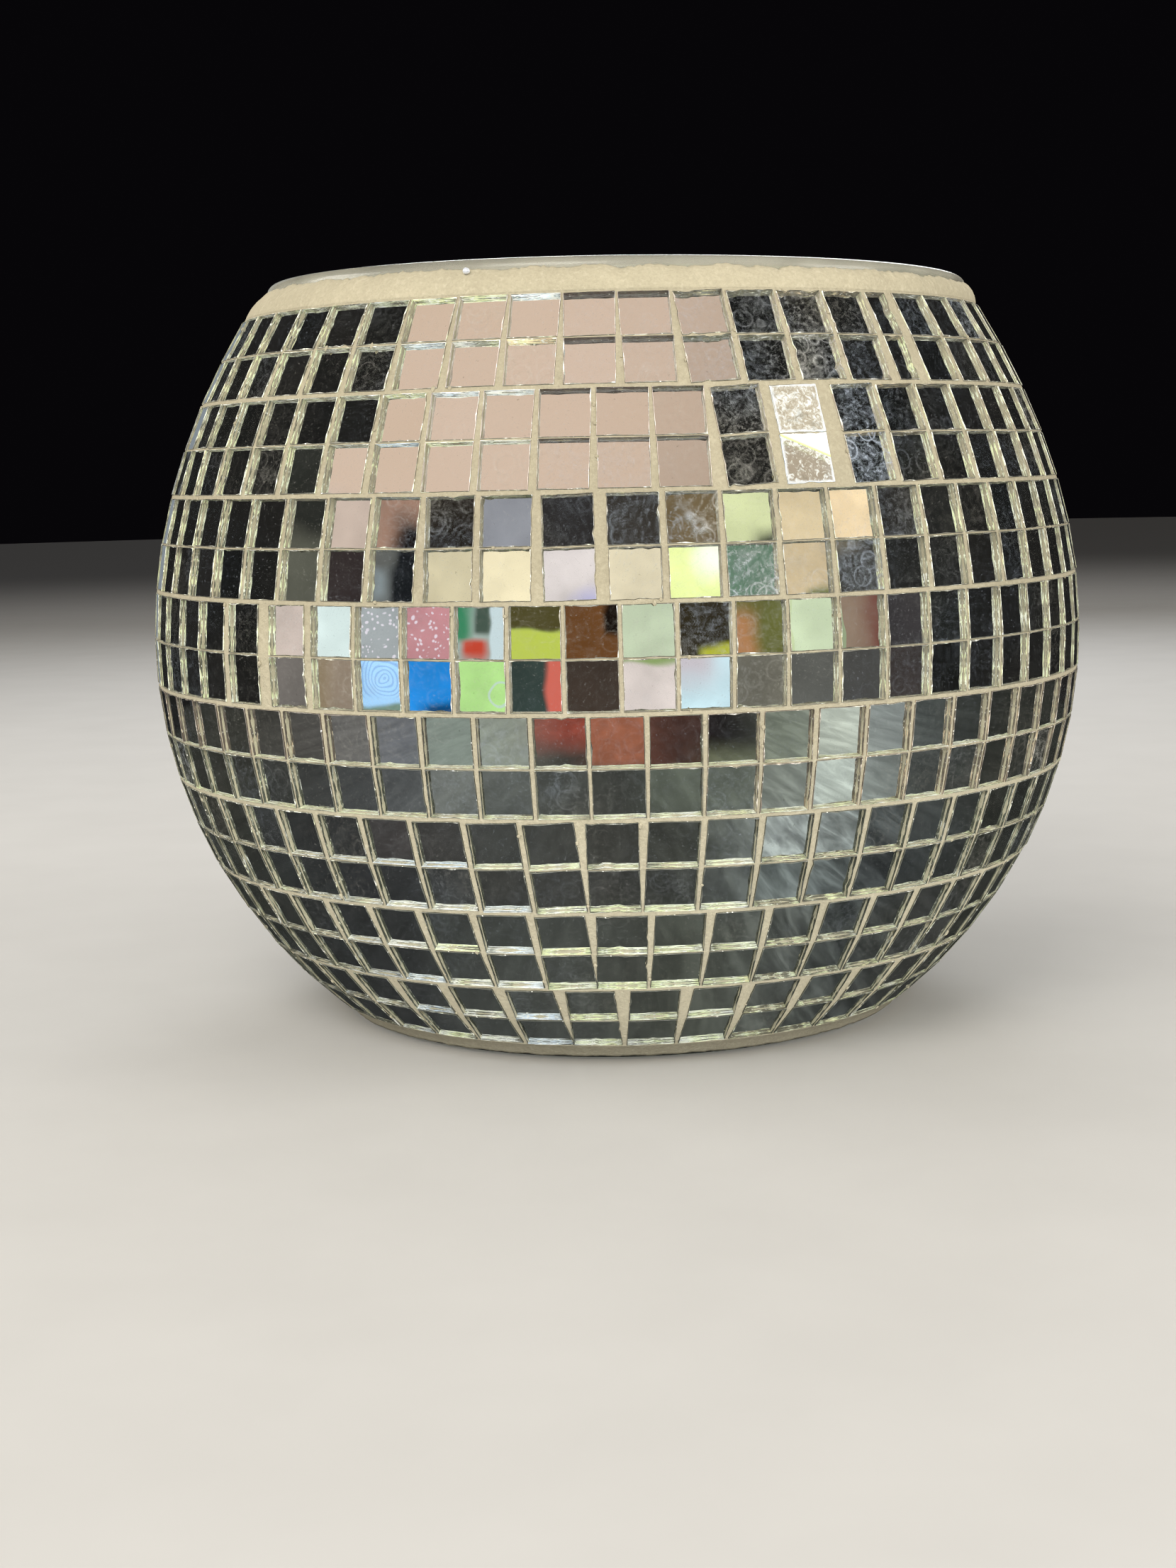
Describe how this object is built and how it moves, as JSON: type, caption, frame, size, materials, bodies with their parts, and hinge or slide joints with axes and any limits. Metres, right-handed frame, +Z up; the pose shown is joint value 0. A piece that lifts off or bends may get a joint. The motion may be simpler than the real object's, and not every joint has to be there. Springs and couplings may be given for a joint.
{
  "type": "mirror mosaic bowl",
  "caption": "Round, open-topped thick glass bowl clad outside in double rows of square mirror tiles with cream grout joints and a grout band under its bare glass lip.",
  "frame": {"origin": "centre of the foot, on the plane the bowl rests on", "axes": "+Z up along the bowl's turning axis; -Y is the front, where the rings of tiles were closed; +X to the right seen from the front"},
  "size_m": [0.2062, 0.2062, 0.1608],
  "materials": {
    "clear_glass": "clear soda-lime glass with a grey-green tint in its thickness, fire-polished lip",
    "mirror_tile": "back-silvered glass, glossy, with ground edges and light scratches",
    "cream_grout": "matt cement grout, cream, fine sandy texture",
    "tile_adhesive": "set tile adhesive, matt, combed"
  },
  "bodies": {
    "root": {"glass_bowl": "clear_glass", "tile_adhesive": "tile_adhesive", "mirror_strip_1": "mirror_tile", "mirror_strip_2": "mirror_tile", "mirror_strip_3": "mirror_tile", "mirror_strip_4": "mirror_tile", "mirror_strip_5": "mirror_tile", "mirror_strip_6": "mirror_tile", "mirror_strip_7": "mirror_tile", "mirror_strip_8": "mirror_tile", "strip_1_end_piece": "mirror_tile", "strip_1_half_tile_pair": "mirror_tile", "strip_2_tile_pair_left": "mirror_tile", "strip_2_tile_pair_right": "mirror_tile", "strip_3_double_pair": "mirror_tile", "strip_3_tile_pair_left": "mirror_tile", "strip_3_tile_pair_right": "mirror_tile", "strip_4_tile_pair_left": "mirror_tile", "strip_4_tile_pair_right": "mirror_tile", "strip_6_tile_pair": "mirror_tile", "strip_7_tile_pair": "mirror_tile", "strip_8_tile_pair": "mirror_tile", "rim_grout_band": "cream_grout", "joint_grout_1": "cream_grout", "joint_grout_2": "cream_grout", "joint_grout_3": "cream_grout", "joint_grout_4": "cream_grout", "joint_grout_5": "cream_grout", "joint_grout_6": "cream_grout", "joint_grout_7": "cream_grout", "base_grout_ring": "cream_grout", "seam_grout_1": "cream_grout", "seam_grout_2": "cream_grout", "seam_grout_5": "cream_grout"}
  },
  "joints": []
}
